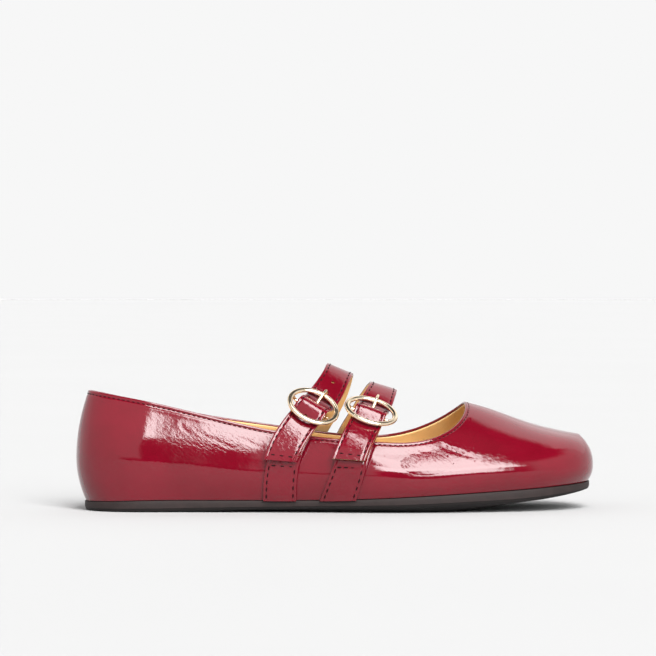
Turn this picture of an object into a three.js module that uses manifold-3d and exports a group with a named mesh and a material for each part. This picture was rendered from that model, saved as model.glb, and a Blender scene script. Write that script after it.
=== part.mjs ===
// A flat mary jane shoe for the right foot, with two buckled straps, in millimetres.
// X runs from heel to toe, Y towards the inner (medial) side and Z up. The shoe stands on the floor, z = 0.
// The upper and everything on it follow one form, the last, given by nine sections from heel to toe.
import * as THREE from "three";
import { mergeVertices } from "three/addons/utils/BufferGeometryUtils.js";
import Module from "manifold-3d";

const wasm = await Module();
wasm.setup();

// Sizes of the last and the upper
const LENGTH = 252; // over the upper, from the back of the heel to the toe
const BALL_WIDTH = 87.5; // over the upper, at the ball of the foot
const INSTEP_HEIGHT = 67; // top of the foot under the rear strap
const HEEL_HEIGHT = 57.5; // back of the topline
const BELLY_HEIGHT = 19; // where the sides are widest, at the waist
const WALL = 1.8; // leather, foam and lining together
const GAP = 0.3; // between pieces that touch
const SEAT = 0.5; // between layers on the curved upper, which meet closer at their edges
const HEEL_RAKE = 6; // how far the back leans in at the topline
const HEEL_TUCK = 4.6; // how far the back turns in at the sole
const TOE_BROW = 6.6; // how far the toe rolls back at its upper edge
const TOE_TUCK = 2.3; // how far the toe turns in at the sole
const SIDE_TUCK = 2.8; // how far the sides turn in at the sole
const HEEL_ROUND = 34; // length of the rounding of the heel, seen from above
const TOE_ROUND = 38; // the same for the toe
const HEEL_SQUARENESS = 2.25; // exponent of the heel's rounding, where 2 is an ellipse
const TOE_SQUARENESS = 2.7; // the same for the toe, which is a soft square
const BROW_POWER = 2.5; // how tightly the toe's upper edge turns
const BELLY_SHARE = 0.2; // share of the girth that lies below the widest line

// Sizes of the topline
const THROAT = 189.5; // from the back of the heel to the front edge of the opening
const OUTER_THROAT_RUN = 39; // length over which the outer topline climbs to the throat
const INNER_THROAT_RUN = 54; // the same on the inner side
const CLIMB_POWER = 2.4; // shape of the climb near its start
const OUTER_CLIMB_ROUND = 1.7; // shape of the climb near the throat
const INNER_CLIMB_ROUND = 1.2;

// Sizes of the sole and insole
const SOLE_EDGE = 5.2; // height of the outsole's side
const TOE_SPRING = 9.8; // height of the outsole's lower edge at the toe
const SOLE_MARGIN = 0.5; // how far the outsole stands out past the foot of the upper
const SOLE_UNDERCUT = 12; // how far the flat underside lies in from the outsole's edge
const SOLE_ROUND = 0.7; // rounding of the outsole's edges
const INSOLE = 2.4; // thickness

// Sizes of the straps and buckles
const STRAP_WIDTH = 13.6;
const END_WIDTH = 15.4; // the strap at the buckle and the loose end
const WIDE_RUN = 9; // how far past the bar it is that wide
const NARROWING = 20; // length over which it narrows from there
const STRAP = 1.5; // thickness
const CHAPE_WIDTH = 16; // the tab that holds the buckle, at the sole
const CHAPE_NECK = 14.4; // the same at the buckle
const CHAPE = 1.5; // thickness
const LOOP = 1.1; // thickness of the tab where it is skived to go round the bar
const CHAPE_SIDESTEP = 1.8; // how far the tab lies nearer to the toe than the strap's end
const EDGE_ROUND = 0.35; // chamfer of a strap's edges
const BUCKLE_WIDTH = 26.4; // outside
const BUCKLE_HEIGHT = 22.4; // outside, along the strap
const RIM = 2.6; // width of the buckle's rim
const RIM_DEPTH = 2.2; // its thickness
const BAR_RADIUS = 0.8;
const PRONG_RADIUS = 0.75;
const PRONG_OVERHANG = 2.2; // how far the prong's tip passes the middle of the rim
const SPRING = 2.6; // how far straps and tabs stand off the foot where they pass the topline
const SPRING_GIRTH = 0.6; // girth at which they stand off most
const SPRING_REACH = 0.26; // share of the girth over which that fades out, on either side
const RIM_SEAT = 1.1; // between the strap and the buckle's flat rim, since the strap twists
const HUMP = 9; // half the length of the strap's rise over the bar
const FOOT_STOP = 0.015; // share of the girth at which straps and tabs end over the sole
const END_TURN = 9; // length over which the loose end turns level, as it is cut
const FOOT_TURN = 0.16; // share of the girth over which their ends turn parallel to the sole
const STRAP_STEP = 2.5; // distance between sections of a strap

// Nine equal stations from heel to toe. Each table has a row for each station.

// The last. outer, inner and axis are shares of BALL_WIDTH, ridge of INSTEP_HEIGHT and belly of BELLY_HEIGHT.
// full makes a section fuller (above 0) or more peaked (below 0).
const LAST = [
  { outer: 0.32, inner: 0.31, axis: 0.0, ridge: 1.2, belly: 1.32, full: -0.08 },
  { outer: 0.32, inner: 0.31, axis: 0.0, ridge: 1.26, belly: 1.26, full: -0.08 },
  { outer: 0.36, inner: 0.312, axis: 0.01, ridge: 1.3, belly: 1.12, full: -0.08 },
  { outer: 0.418, inner: 0.285, axis: 0.03, ridge: 1.19, belly: 1.0, full: -0.08 },
  { outer: 0.497, inner: 0.312, axis: 0.045, ridge: 1.0, belly: 0.95, full: -0.08 },
  { outer: 0.55, inner: 0.395, axis: 0.045, ridge: 0.83, belly: 0.95, full: -0.08 },
  { outer: 0.53, inner: 0.45, axis: 0.04, ridge: 0.77, belly: 0.98, full: -0.06 },
  { outer: 0.462, inner: 0.418, axis: 0.04, ridge: 0.637, belly: 1.03, full: -0.02 },
  { outer: 0.36, inner: 0.32, axis: 0.04, ridge: 0.535, belly: 1.08, full: 0.04 },
];

// The outsole. edge is a share of SOLE_EDGE, lift and under of TOE_SPRING and undercut of SOLE_UNDERCUT.
const SOLE = [
  { edge: 0.8, lift: 0.03, under: -0.03, undercut: 0.25 },
  { edge: 1.02, lift: 0.03, under: -0.05, undercut: 0.25 },
  { edge: 0.92, lift: 0.1, under: 0.01, undercut: 0.5 },
  { edge: 0.78, lift: 0.18, under: 0.05, undercut: 0.9 },
  { edge: 0.74, lift: 0.24, under: -0.03, undercut: 1.0 },
  { edge: 0.92, lift: 0.28, under: -0.07, undercut: 1.0 },
  { edge: 1.04, lift: 0.4, under: 0.1, undercut: 1.0 },
  { edge: 1.08, lift: 0.56, under: 0.48, undercut: 1.0 },
  { edge: 0.66, lift: 1.0, under: 0.94, undercut: 0.8 },
];

// The topline on both sides, before it climbs to the throat, as shares of HEEL_HEIGHT.
const TOPLINE = [
  { outerTop: 1.0, innerTop: 1.0 },
  { outerTop: 0.913, innerTop: 0.885 },
  { outerTop: 0.794, innerTop: 0.773 },
  { outerTop: 0.676, innerTop: 0.692 },
  { outerTop: 0.607, innerTop: 0.614 },
  { outerTop: 0.574, innerTop: 0.576 },
  { outerTop: 0.574, innerTop: 0.576 },
  { outerTop: 0.574, innerTop: 0.576 },
  { outerTop: 0.574, innerTop: 0.576 },
];

// The straps. places are shares of LENGTH, at seven equal steps of the girth, from the outer edge of the sole
// over the foot to the inner edge. buckle is the girth of the buckle's bar, and end that of the strap's loose
// end, from -1 at the outer edge of the sole to 0 on top of the foot.
const STRAPS = [
  {
    name: "rear",
    places: [0.378, 0.396, 0.473, 0.507, 0.497, 0.453, 0.433],
    buckle: -0.445,
    end: -0.725,
  },
  {
    name: "front",
    places: [0.487, 0.52, 0.565, 0.592, 0.567, 0.53, 0.51],
    buckle: -0.39,
    end: -0.7,
  },
];

const COLOURS = {
  patent: { color: 0x8c0f22, roughness: 0.12, metalness: 0 },
  lining: { color: 0xc79a62, roughness: 0.7, metalness: 0 },
  rubber: { color: 0x3b2f2d, roughness: 0.75, metalness: 0 },
  gold: { color: 0xe3c38a, roughness: 0.18, metalness: 1 },
};

// Smooth curves through evenly spaced values

// The control values of a cubic B-spline that passes through the values, with straight ends.
function controls(values) {
  const c = values.slice();
  for (let pass = 0; pass < 60; pass++)
    for (let i = 1; i < c.length - 1; i++) c[i] = (6 * values[i] - c[i - 1] - c[i + 1]) / 4;
  const last = c.length - 1;
  return [2 * c[0] - c[1], ...c, 2 * c[last] - c[last - 1]];
}

// A function of 0 to 1 that passes smoothly through the values.
function smooth(values) {
  const c = controls(values);
  const spans = values.length - 1;
  return (share) => {
    const at = Math.min(Math.max(share, 0), 1) * spans;
    const i = Math.min(Math.floor(at), spans - 1);
    const t = at - i;
    const weights = [(1 - t) ** 3, 3 * t ** 3 - 6 * t ** 2 + 4, -3 * t ** 3 + 3 * t ** 2 + 3 * t + 1, t ** 3];
    return weights.reduce((sum, w, k) => sum + (w * c[i + k]) / 6, 0);
  };
}

// One function of the share of the length for each column of the tables.
const along = {};
for (const table of [LAST, SOLE, TOPLINE])
  for (const name of Object.keys(table[0])) along[name] = smooth(table.map((row) => row[name]));
const TINY = 1e-6;
const smoothstep = (t) => THREE.MathUtils.smoothstep(t, 0, 1);

// The last

const soleEdgeBottom = (x) => TOE_SPRING * along.lift(x / LENGTH);
const soleTop = (x) => soleEdgeBottom(x) + SOLE_EDGE * along.edge(x / LENGTH);
const underside = (x) => Math.max(0, TOE_SPRING * along.under(x / LENGTH));
const ridgeHeight = (x) => INSTEP_HEIGHT * along.ridge(x / LENGTH);
const bellyHeight = (x) => BELLY_HEIGHT * along.belly(x / LENGTH);

// The share of the full width at x, which falls to nothing at both ends.
function endRounding(x) {
  const rounded = (reach, length, power) =>
    (1 - (1 - Math.min(Math.max(reach / length, 0), 1)) ** power) ** (1 / power);
  return rounded(x, HEEL_ROUND, HEEL_SQUARENESS) * rounded(LENGTH - x, TOE_ROUND, TOE_SQUARENESS);
}

// A point of the last. side is -1 outside and 1 inside, girth 0 at the sole and 1 on the ridge.
function lastPoint(x, side, girth) {
  const share = x / LENGTH;
  const belly = bellyHeight(x);
  const rise = ridgeHeight(x) - belly;
  const foot = soleTop(x) + GAP;
  const round = endRounding(x);
  const reach = BALL_WIDTH * (side < 0 ? along.outer(share) : along.inner(share));
  let y, z, back, front;
  if (girth < BELLY_SHARE) {
    const down = 1 - girth / BELLY_SHARE;
    y = (reach - SIDE_TUCK * down ** 2) * round;
    z = belly - (belly - foot) * down;
    back = HEEL_TUCK * down ** 2;
    front = TOE_TUCK * down ** 2;
  } else {
    const turn = ((girth - BELLY_SHARE) / (1 - BELLY_SHARE)) * (Math.PI / 2);
    const full = 4 * along.full(share);
    const up = Math.sin(turn) * (1 + full * Math.cos(turn) ** 2);
    y = reach * Math.cos(turn) * (1 + full * Math.sin(turn) ** 2) * round;
    z = belly + rise * up;
    back = HEEL_RAKE * ((z - belly) / (HEEL_HEIGHT - belly)) ** 2;
    front = TOE_BROW * up ** BROW_POWER;
  }
  const nearHeel = 1 - smoothstep(x / (0.36 * LENGTH));
  const nearToe = smoothstep(1 - (LENGTH - x) / (0.24 * LENGTH));
  return new THREE.Vector3(
    x + back * nearHeel - front * nearToe,
    BALL_WIDTH * along.axis(share) + side * y,
    z,
  );
}

// Columns are spaced so that they crowd towards both ends, where the outline turns.
const columnX = (c) => (LENGTH * (1 - Math.cos(Math.PI * c))) / 2;
const columnOf = (x) => Math.acos(1 - (2 * x) / LENGTH) / Math.PI;

// The outward direction of the last at a column, side and girth.
function lastNormal(c, side, girth) {
  const step = 1e-4;
  const at = (dc, dg) => lastPoint(columnX(c + dc), side, girth + dg);
  const onHeel = c < step;
  const onToe = c > 1 - step;
  const onRidge = girth > 1 - step;
  const across = new THREE.Vector3(0, side, 0);
  const up = girth < step ? at(0, step).sub(at(0, 0)) : at(0, 0).sub(at(0, -step));
  const forward = c < step ? at(step, 0).sub(at(0, 0)) : at(0, 0).sub(at(-step, 0));
  if (onHeel || onToe) {
    // Both sides meet here, so the surface runs straight across.
    up.setY(0);
    const outward = across.cross(up).multiplyScalar(side).normalize();
    return onHeel ? outward.negate() : outward;
  }
  if (onRidge) return new THREE.Vector3(-forward.z, 0, forward.x).normalize();
  return forward.cross(up).multiplyScalar(-side).normalize();
}

// The topline

const climbs = {
  "-1": { run: OUTER_THROAT_RUN, round: OUTER_CLIMB_ROUND, base: along.outerTop },
  1: { run: INNER_THROAT_RUN, round: INNER_CLIMB_ROUND, base: along.innerTop },
};

// Height of the topline at x, on one side.
function toplineHeight(x, side) {
  const { run, round, base } = climbs[side];
  const low = HEEL_HEIGHT * base(x / LENGTH);
  const share = Math.max(0, (x - THROAT + run) / run);
  const climb = 1 - (1 - Math.min(share, 1) ** CLIMB_POWER) ** (1 / round);
  return low + (ridgeHeight(THROAT) - low) * climb;
}

// The girth at which the upper ends, which is the ridge past the throat.
function toplineGirth(x, side) {
  if (x > THROAT - TINY) return 1;
  const height = toplineHeight(x, side);
  let low = BELLY_SHARE;
  let high = 1;
  for (let i = 0; i < 40; i++) {
    const middle = (low + high) / 2;
    if (lastPoint(x, side, middle).z < height) low = middle;
    else high = middle;
  }
  return low;
}

// Meshes and solids

// Collects four-sided faces and turns them into one closed geometry that faces outwards.
class Skin {
  corners = [];
  quad(a, b, c, d) {
    this.corners.push(a, b, c, a, c, d);
  }
  // The faces between two rows of points of equal length.
  strip(one, other) {
    for (let i = 0; i + 1 < one.length; i++) this.quad(one[i], one[i + 1], other[i + 1], other[i]);
  }
  geometry() {
    const raw = new THREE.BufferGeometry().setFromPoints(this.corners);
    const merged = mergeVertices(raw, 1e-4);
    const old = merged.index.array;
    const index = [];
    let volume = 0;
    const point = (i) => new THREE.Vector3().fromBufferAttribute(merged.attributes.position, i);
    for (let i = 0; i < old.length; i += 3) {
      const [a, b, c] = [old[i], old[i + 1], old[i + 2]];
      if (a === b || b === c || a === c) continue;
      index.push(a, b, c);
      volume += point(a).dot(point(b).cross(point(c)));
    }
    if (volume < 0) index.reverse();
    merged.setIndex(index);
    return merged;
  }
}

// A closed body through rings of points, each joined to the next, with flat ends.
function loft(rings) {
  const skin = new Skin();
  const closed = rings.map((ring) => [...ring, ring[0]]);
  for (let i = 0; i + 1 < closed.length; i++) skin.strip(closed[i], closed[i + 1]);
  for (const [ring, turned] of [[closed[0], true], [closed.at(-1), false]]) {
    const middle = new THREE.Vector3();
    for (const p of ring.slice(1)) middle.addScaledVector(p, 1 / (ring.length - 1));
    for (let i = 0; i + 1 < ring.length; i++) {
      if (turned) skin.corners.push(middle, ring[i + 1], ring[i]);
      else skin.corners.push(middle, ring[i], ring[i + 1]);
    }
  }
  return skin.geometry();
}

function solidOf(geometry) {
  const plain = geometry.index ? geometry.toNonIndexed() : geometry.clone();
  const bare = new THREE.BufferGeometry().setAttribute("position", plain.getAttribute("position"));
  const merged = mergeVertices(bare, 1e-4);
  return new wasm.Manifold(
    new wasm.Mesh({
      numProp: 3,
      vertProperties: merged.attributes.position.array,
      triVerts: new Uint32Array(merged.index.array),
    }),
  );
}

function geometryOf(solid) {
  const { vertProperties, triVerts } = solid.getMesh();
  return new THREE.BufferGeometry()
    .setAttribute("position", new THREE.BufferAttribute(new Float32Array(vertProperties), 3))
    .setIndex(new THREE.BufferAttribute(new Uint32Array(triVerts), 1));
}

function meshOf(name, geometry, finish) {
  geometry.computeVertexNormals();
  const mesh = new THREE.Mesh(geometry, new THREE.MeshStandardMaterial(COLOURS[finish]));
  mesh.name = name;
  return mesh;
}

// The upper: one hollow wall, open at the topline and underneath

// Places of the upper's columns: even at first, crowding up to the throat, and even again to the toe.
function upperColumns(even = 23, crowded = 9, past = 13) {
  const throat = columnOf(THROAT);
  const start = throat - CROWDING;
  const columns = [];
  for (let i = 0; i < even; i++) columns.push((start * i) / even);
  for (let i = 0; i <= crowded; i++) columns.push(throat - CROWDING * (1 - i / crowded) ** 2);
  for (let i = 1; i <= past; i++) columns.push(throat + ((1 - throat) * i) / past);
  return columns;
}

const CROWDING = 0.06;
const UPPER_ROWS = 11;

// Girth of a row. The lower rows run level, and the upper ones climb with the topline.
function rowGirth(top, row) {
  const share = row / UPPER_ROWS;
  const level = 0.45;
  return level * share + (top - level) * share ** 2;
}

function upper() {
  const skin = new Skin();
  const columns = upperColumns();
  for (const side of [-1, 1]) {
    const outside = [];
    const inside = [];
    for (const c of columns) {
      const top = toplineGirth(columnX(c), side);
      const outer = [];
      const inner = [];
      for (let row = 0; row <= UPPER_ROWS; row++) {
        const girth = rowGirth(top, row);
        const point = lastPoint(columnX(c), side, girth);
        outer.push(point);
        inner.push(point.clone().addScaledVector(lastNormal(c, side, girth), -WALL));
      }
      outside.push(outer);
      inside.push(inner);
    }
    for (let i = 0; i + 1 < columns.length; i++) {
      const faces = [
        [outside[i], outside[i + 1]],
        [inside[i + 1], inside[i]],
        [[inside[i][0], outside[i][0]], [inside[i + 1][0], outside[i + 1][0]]],
      ];
      if (columnX(columns[i]) < THROAT - TINY)
        faces.push([[outside[i].at(-1), inside[i].at(-1)], [outside[i + 1].at(-1), inside[i + 1].at(-1)]]);
      for (const [one, other] of faces) {
        if (side < 0) skin.strip(one, other);
        else skin.strip(other, one);
      }
    }
  }
  return skin.geometry();
}

// The sole and the insole, lofted from heel to toe

const SOLE_COLUMNS = 46;

// The foot of the upper, moved outwards in plan by a distance.
function footLine(c, side, outwards) {
  const point = lastPoint(columnX(c), side, 0);
  const normal = lastNormal(c, side, 0).setZ(0).normalize();
  return point.addScaledVector(normal, outwards);
}

function soleRing(c) {
  const x = columnX(c);
  const top = soleTop(x);
  const low = soleEdgeBottom(x);
  const floor = underside(x);
  const tuck = SOLE_UNDERCUT * along.undercut(x / LENGTH);
  const half = (side) => [
    footLine(c, side, SOLE_MARGIN - SOLE_ROUND).setZ(top),
    footLine(c, side, SOLE_MARGIN).setZ(top - SOLE_ROUND),
    footLine(c, side, SOLE_MARGIN).setZ(low + SOLE_ROUND),
    footLine(c, side, SOLE_MARGIN - SOLE_ROUND).setZ(low),
    footLine(c, side, -tuck).setZ(floor),
  ];
  return [...half(-1), ...half(1).reverse()];
}

function insoleRing(c) {
  const x = columnX(c);
  const low = soleTop(x) + GAP;
  const half = (side) => [
    footLine(c, side, -WALL - GAP).setZ(low),
    footLine(c, side, -WALL - GAP).setZ(low + INSOLE - EDGE_ROUND),
    footLine(c, side, -WALL - GAP - EDGE_ROUND).setZ(low + INSOLE),
  ];
  return [...half(-1), ...half(1).reverse()];
}

const soleColumns = Array.from({ length: SOLE_COLUMNS + 1 }, (_, i) => i / SOLE_COLUMNS);

// Straps, tabs and buckles

// A strap's line over the last. girth runs from -1 at the outer sole edge to 1 at the inner one.
function strapLine(strap, sidestep = 0) {
  const place = smooth(strap.places);
  return (girth) => {
    const x = LENGTH * place((girth + 1) / 2) + sidestep;
    const side = girth < 0 ? -1 : 1;
    const height = 1 - Math.abs(girth);
    const level = lastPoint(x + 1, side, height).sub(lastPoint(x - 1, side, height)).normalize();
    const normal = lastNormal(columnOf(x), side, height);
    const away = Math.min(Math.abs(Math.abs(girth) - SPRING_GIRTH) / SPRING_REACH, 1);
    const spring = SPRING * Math.cos((away * Math.PI) / 2) ** 2;
    const point = lastPoint(x, side, height).addScaledVector(normal, spring);
    return { point, normal, level, height };
  };
}

// Walks along a line from one girth to another and returns a frame at even steps: where it is, the direction
// across towards the toe, the direction out, and the distance walked, counted from the buckle.
function walk(line, from, to, buckle) {
  const fine = 400;
  const girths = Array.from({ length: fine + 1 }, (_, i) => from + ((to - from) * i) / fine);
  const points = girths.map((g) => line(g).point);
  const run = [0];
  for (let i = 1; i <= fine; i++) run.push(run[i - 1] + points[i].distanceTo(points[i - 1]));
  const at = (distance) => {
    const i = Math.min(Math.max(run.findIndex((r) => r >= distance), 1), fine);
    const t = (distance - run[i - 1]) / (run[i] - run[i - 1]);
    return girths[i - 1] + (girths[i] - girths[i - 1]) * t;
  };
  const closer = (best, g, i) => (Math.abs(g - buckle) < Math.abs(girths[best] - buckle) ? i : best);
  const nearest = girths.reduce(closer, 0);
  const length = run[fine];
  const steps = Math.round(length / STRAP_STEP);
  return Array.from({ length: steps + 1 }, (_, i) => {
    const distance = (length * i) / steps;
    return { ...frameAt(line, at(distance)), run: distance - run[nearest] };
  });
}

function frameAt(line, girth) {
  const step = 1e-3;
  const { point, normal, level, height } = line(girth);
  const after = line(Math.min(girth + step, 1)).point;
  const before = line(Math.max(girth - step, -1)).point;
  const forward = after.sub(before).normalize();
  const across = normal.clone().cross(forward).normalize();
  if (across.x < 0) across.negate();
  const out = forward.clone().cross(across).normalize();
  if (out.dot(normal) < 0) out.negate();
  // Near the sole the strip's ends lie level with it, at the same width.
  level.divideScalar(level.dot(across));
  across.lerp(level, smoothstep(1 - height / FOOT_TURN));
  return { point, across, out, level };
}

// The ring of eight points of a flat strip with chamfered edges.
function stripRing({ point, across, out }, offset, width, thickness) {
  const w = width / 2;
  const t = thickness / 2;
  const e = Math.min(EDGE_ROUND, thickness / 3);
  const left = [[-w + e, -t], [-w, -t + e], [-w, t - e], [-w + e, t]];
  const right = left.map(([a, b]) => [-a, b]).reverse();
  return [...left, ...right].map(([a, b]) =>
    point.clone().addScaledVector(across, a).addScaledVector(out, offset + b));
}

// Heights above the last of what lies at a buckle
const CHAPE_OFFSET = SEAT + CHAPE / 2;
const END_OFFSET = SEAT + CHAPE + SEAT + STRAP / 2;
const STRAP_OFFSET = SEAT + STRAP / 2;
const EYE_INNER = BAR_RADIUS + GAP;
const EYE_OUTER = EYE_INNER + LOOP;
const EYE_SIDES = 20;
const BAR_OFFSET = SEAT + EYE_OUTER;
const HUMP_OFFSET = BAR_OFFSET + EYE_OUTER + SEAT + STRAP / 2;
const NEAR_RIM = END_OFFSET + STRAP / 2 + RIM_SEAT + RIM_DEPTH / 2;
const FAR_RIM = STRAP_OFFSET + STRAP / 2 + RIM_SEAT + RIM_DEPTH / 2;
const RIM_REACH = (BUCKLE_HEIGHT - RIM) / 2;

// Height of the strap above the last, at a distance from the bar: it lies on the tab, then on the bar
// and then on the foot.
function strapOffset(run) {
  const base = END_OFFSET + (STRAP_OFFSET - END_OFFSET) * smoothstep((run + HUMP) / (2 * HUMP));
  const hump = Math.abs(run) < HUMP ? Math.cos((Math.PI * run) / (2 * HUMP)) ** 2 : 0;
  return base + (HUMP_OFFSET - (END_OFFSET + STRAP_OFFSET) / 2) * hump;
}

function strapWidth(run) {
  return END_WIDTH + (STRAP_WIDTH - END_WIDTH) * smoothstep((run - WIDE_RUN) / NARROWING);
}

// A frame whose axes are across the strap, along it towards the top of the foot, and out.
function buckleFrame(strap) {
  const { point, across, out } = frameAt(strapLine(strap), strap.buckle);
  const up = out.clone().cross(across);
  return new THREE.Matrix4().makeBasis(across, up, out).setPosition(point);
}

// The rim and the bar, in the buckle's own frame. The rim is tilted: its lower side lies on two layers.
// RIM_SECTION is half of its section, in shares of RIM and RIM_DEPTH.
const RIM_SECTION = [[0.3, -0.5], [0.5, -0.25], [0.5, 0.2], [0.25, 0.5]];

function buckleGeometry() {
  const around = 36;
  const rings = [];
  const tilt = Math.atan2(FAR_RIM - NEAR_RIM, 2 * RIM_REACH);
  const bed = new THREE.Matrix4().makeRotationX(tilt).setPosition(0, 0, (NEAR_RIM + FAR_RIM) / 2);
  for (let i = 0; i < around; i++) {
    const a = (2 * Math.PI * i) / around;
    const direction = new THREE.Vector3(Math.cos(a), Math.sin(a), 0);
    const middle = new THREE.Vector3(((BUCKLE_WIDTH - RIM) / 2) * direction.x, RIM_REACH * direction.y, 0);
    const section = [...RIM_SECTION.map(([r, h]) => [-r, h]), ...RIM_SECTION.toReversed()];
    rings.push(section.map(([r, h]) =>
      middle.clone().addScaledVector(direction, r * RIM).setZ(h * RIM_DEPTH).applyMatrix4(bed)));
  }
  const skin = new Skin();
  rings.forEach((ring, i) => {
    const next = rings[(i + 1) % around];
    skin.strip([...ring, ring[0]], [...next, next[0]]);
  });
  const bar = new THREE.CylinderGeometry(BAR_RADIUS, BAR_RADIUS, BUCKLE_WIDTH - RIM, 12);
  bar.rotateZ(Math.PI / 2).translate(0, 0, BAR_OFFSET);
  // Short posts carry the bar, which lies lower than the rim.
  const post = (side) => {
    const top = (NEAR_RIM + FAR_RIM) / 2;
    const height = top - BAR_OFFSET + BAR_RADIUS;
    return new THREE.CylinderGeometry(BAR_RADIUS, BAR_RADIUS, height, 12)
      .rotateX(Math.PI / 2)
      .translate(side * ((BUCKLE_WIDTH - RIM) / 2 - 0.2), 0, top - height / 2);
  };
  return geometryOf(solidOf(skin.geometry()).add(solidOf(bar)).add(solidOf(post(-1))).add(solidOf(post(1))));
}

// The prong: an eye round the bar and a pin that lies over the far rim, in the buckle's own frame.
function prongGeometry(grown = 0) {
  const radius = PRONG_RADIUS + grown;
  const restHeight = FAR_RIM + RIM_DEPTH / 2 + GAP + PRONG_RADIUS;
  const tip = RIM_REACH + PRONG_OVERHANG;
  const route = new THREE.CatmullRomCurve3([
    new THREE.Vector3(0, EYE_INNER + PRONG_RADIUS, BAR_OFFSET + 0.2),
    new THREE.Vector3(0, tip * 0.45, THREE.MathUtils.lerp(BAR_OFFSET, restHeight, 0.62)),
    new THREE.Vector3(0, RIM_REACH, restHeight + 0.1),
    new THREE.Vector3(0, tip, restHeight - 0.1),
  ]);
  const section = new THREE.Shape().absarc(0, 0, radius, 0, 2 * Math.PI);
  const pin = new THREE.ExtrudeGeometry(section, { steps: 9, extrudePath: route, curveSegments: 5 });
  return pin;
}

function prong() {
  const eye = new THREE.CylinderGeometry(EYE_OUTER - 0.3, EYE_OUTER - 0.3, 2 * PRONG_RADIUS, 16);
  const hole = new THREE.CylinderGeometry(EYE_INNER, EYE_INNER, 4 * PRONG_RADIUS, 16);
  for (const part of [eye, hole]) part.rotateZ(Math.PI / 2).translate(0, 0, BAR_OFFSET);
  return geometryOf(solidOf(eye).add(solidOf(prongGeometry())).subtract(solidOf(hole)));
}

// The loose strap, from the inner edge of the sole over the foot to its end, with the hole for the prong.
function strapGeometry(strap) {
  const frames = walk(strapLine(strap), strap.end, 1 - FOOT_STOP, strap.buckle);
  for (const frame of frames) {
    const nearEnd = smoothstep(1 - (frame.run - frames[0].run) / END_TURN);
    frame.across.lerp(frame.level, nearEnd);
  }
  const rings = frames.map((frame) => stripRing(frame, strapOffset(frame.run), strapWidth(frame.run), STRAP));
  const hole = solidOf(prongGeometry(GAP).applyMatrix4(buckleFrame(strap)));
  return geometryOf(solidOf(loft(rings)).subtract(hole));
}

// The tab: a strip on the upper's outer side that runs up to the bar and loops round it.
function chapeGeometry(strap) {
  const frame = buckleFrame(strap);
  const frames = walk(strapLine(strap, CHAPE_SIDESTEP), FOOT_STOP - 1, strap.buckle, strap.buckle);
  const total = frames[0].run;
  const rings = frames.map((f) => {
    const share = smoothstep(1 - f.run / total);
    const back = f.point.clone().addScaledVector(f.across, -CHAPE_SIDESTEP * share);
    const width = CHAPE_WIDTH + (CHAPE_NECK - CHAPE_WIDTH) * share;
    return stripRing({ ...f, point: back }, CHAPE_OFFSET, width, CHAPE);
  });
  const round = (radius, length) => {
    const cylinder = new THREE.CylinderGeometry(radius, radius, length, EYE_SIDES).rotateZ(Math.PI / 2);
    cylinder.rotateX(Math.PI / EYE_SIDES);
    return solidOf(cylinder.translate(0, 0, BAR_OFFSET).applyMatrix4(frame));
  };
  const slot = solidOf(
    new THREE.BoxGeometry(2 * (PRONG_RADIUS + GAP), 4 * EYE_OUTER, 3 * EYE_OUTER)
      .translate(0, EYE_OUTER, BAR_OFFSET)
      .applyMatrix4(frame),
  );
  const looped = solidOf(loft(rings)).add(round(EYE_OUTER, CHAPE_NECK));
  return geometryOf(looped.subtract(round(EYE_INNER, 2 * BUCKLE_WIDTH)).subtract(slot));
}

const shoe = new THREE.Group();
shoe.add(
  meshOf("outsole", loft(soleColumns.map(soleRing)), "rubber"),
  meshOf("insole", loft(soleColumns.map(insoleRing)), "lining"),
  meshOf("upper", upper(), "patent"),
);
for (const strap of STRAPS) {
  const buckle = meshOf(`${strap.name}_buckle`, buckleGeometry(), "gold");
  const pin = meshOf(`${strap.name}_prong`, prong(), "gold");
  for (const piece of [buckle, pin]) piece.applyMatrix4(buckleFrame(strap));
  shoe.add(
    meshOf(`${strap.name}_strap`, strapGeometry(strap), "patent"),
    meshOf(`${strap.name}_chape`, chapeGeometry(strap), "patent"),
    buckle,
    pin,
  );
}

// The origin is on the floor, under the middle of the shoe's box.
shoe.updateMatrixWorld(true);
const box = new THREE.Box3().setFromObject(shoe, true);
const middle = box.getCenter(new THREE.Vector3());
shoe.position.set(-middle.x, -middle.y, 0);

export default shoe;
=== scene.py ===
"""A right-foot mary jane in crinkled red patent leather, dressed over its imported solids.

The forms are worked out in millimetres, in the last's own frame: X from heel to toe, Y to the inner side
and Z up. They are moved to the frame's origin and turned to metres when a mesh is made.
"""

import math

import bmesh
import bpy
import numpy as np
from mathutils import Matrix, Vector, kdtree, noise


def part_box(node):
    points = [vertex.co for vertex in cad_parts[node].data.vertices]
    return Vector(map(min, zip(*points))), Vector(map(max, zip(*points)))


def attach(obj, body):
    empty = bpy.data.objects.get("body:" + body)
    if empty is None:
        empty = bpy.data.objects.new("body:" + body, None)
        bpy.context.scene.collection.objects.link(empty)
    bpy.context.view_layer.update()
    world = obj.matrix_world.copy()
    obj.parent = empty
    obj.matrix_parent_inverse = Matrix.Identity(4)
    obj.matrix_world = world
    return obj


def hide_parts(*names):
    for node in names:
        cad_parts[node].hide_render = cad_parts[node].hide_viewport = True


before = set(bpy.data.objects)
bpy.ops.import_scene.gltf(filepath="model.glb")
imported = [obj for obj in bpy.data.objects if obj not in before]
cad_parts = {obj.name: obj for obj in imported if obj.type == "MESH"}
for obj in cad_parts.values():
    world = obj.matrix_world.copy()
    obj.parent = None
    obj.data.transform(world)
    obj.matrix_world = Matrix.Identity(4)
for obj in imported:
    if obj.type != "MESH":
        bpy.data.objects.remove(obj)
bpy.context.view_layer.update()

MM = 0.001

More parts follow.
